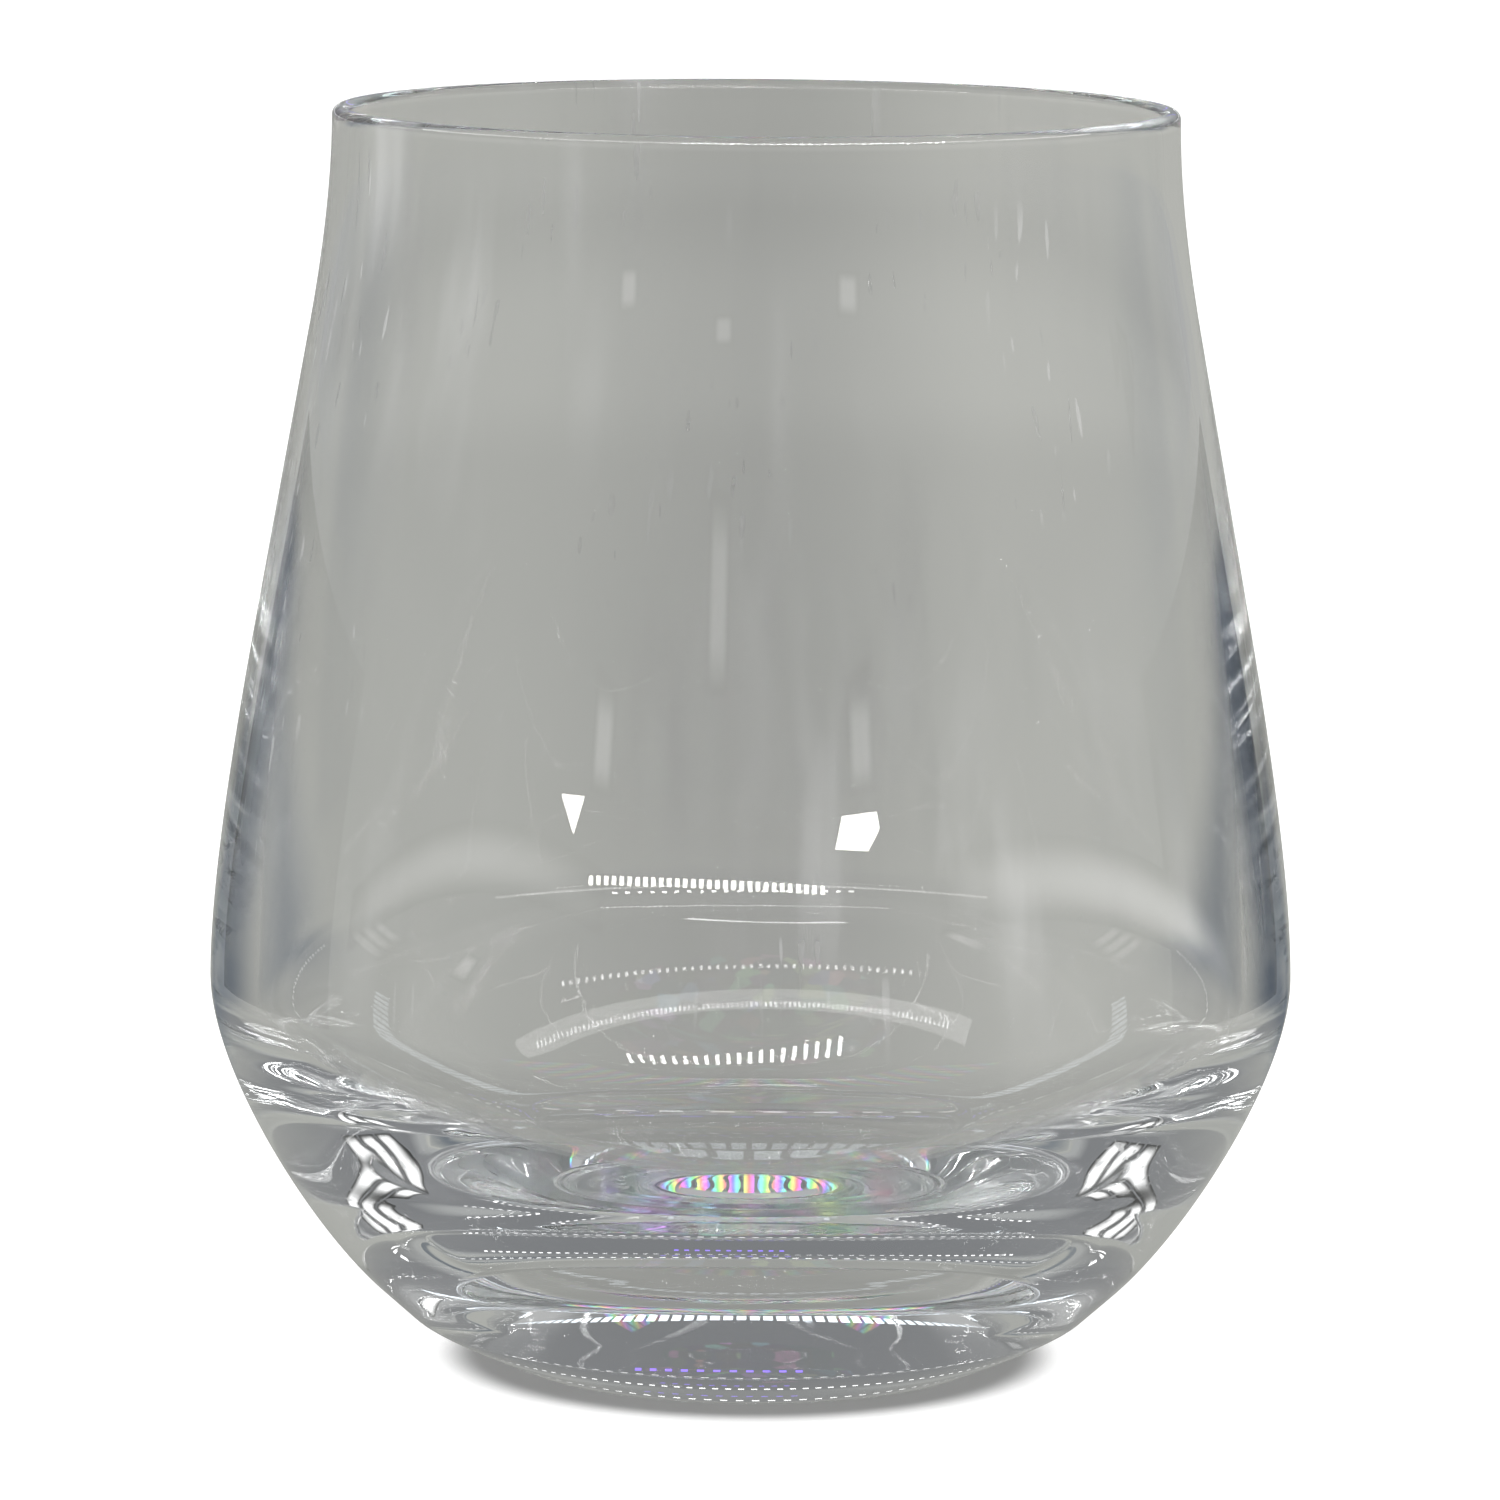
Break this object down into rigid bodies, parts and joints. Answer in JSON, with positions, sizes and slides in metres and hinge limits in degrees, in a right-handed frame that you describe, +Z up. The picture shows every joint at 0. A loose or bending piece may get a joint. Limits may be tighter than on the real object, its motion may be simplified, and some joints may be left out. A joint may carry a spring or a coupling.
{
  "type": "rocks glass",
  "caption": "Stemless tulip-shaped rocks glass of clear glass, with a thin upright lip, a round belly and a heavy solid base; holds a drink and rests on its foot ring.",
  "frame": {"origin": "centre of the plane that the foot ring rests on", "axes": "+Z up along the glass's axis of revolution; X and Y are any two level directions, because the glass is round"},
  "size_m": [0.0862, 0.0862, 0.1],
  "materials": {
    "clear_glass": "clear colourless polished glass"
  },
  "bodies": {
    "root": {"glass_body": "clear_glass"}
  },
  "joints": []
}
